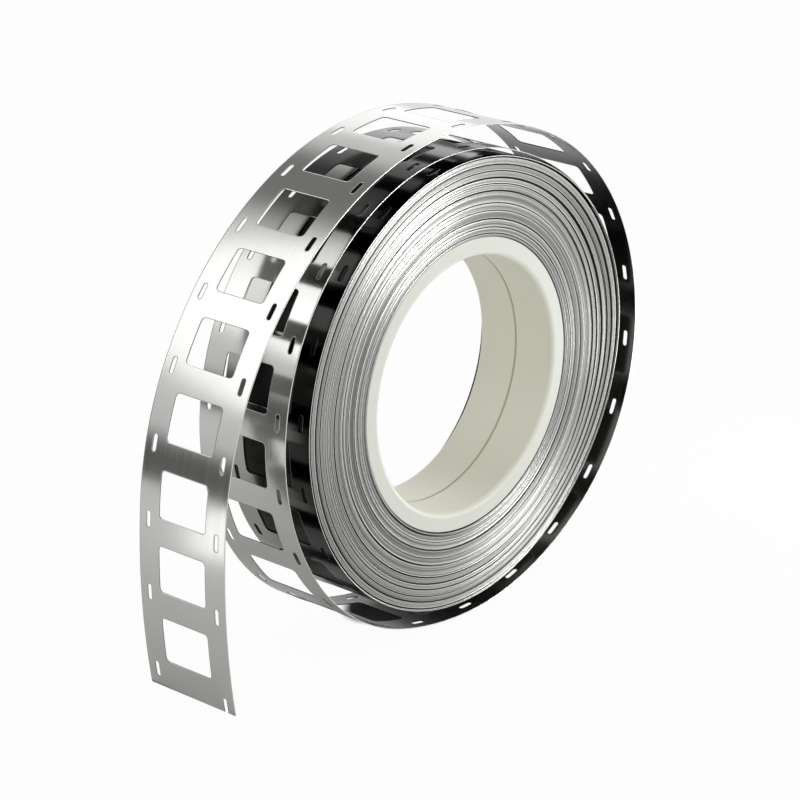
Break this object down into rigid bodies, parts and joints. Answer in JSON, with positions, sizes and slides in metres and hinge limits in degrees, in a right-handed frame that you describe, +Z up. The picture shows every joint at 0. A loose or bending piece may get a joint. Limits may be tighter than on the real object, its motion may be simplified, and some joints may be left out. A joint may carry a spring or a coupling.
{
  "type": "nickel strip roll",
  "caption": "Roll of thin punched ladder strip on a plastic ring, with its loose outer turn and free end; cut to length and welded across rows of round battery cells.",
  "frame": {"origin": "on the roll's axis, in the middle of the strip's width", "axes": "+Y along the roll's axis, away from the near end face; +Z up as the roll stands; +X to the right seen from the near end"},
  "size_m": [0.177, 0.0324, 0.1475],
  "materials": {
    "nickel_strip": "bright rolled nickel, mirror-like along the strip",
    "spool_ring": "smooth moulded satin"
  },
  "bodies": {
    "root": {"nickel_strip": "nickel_strip", "spool_ring": "spool_ring"}
  },
  "joints": []
}
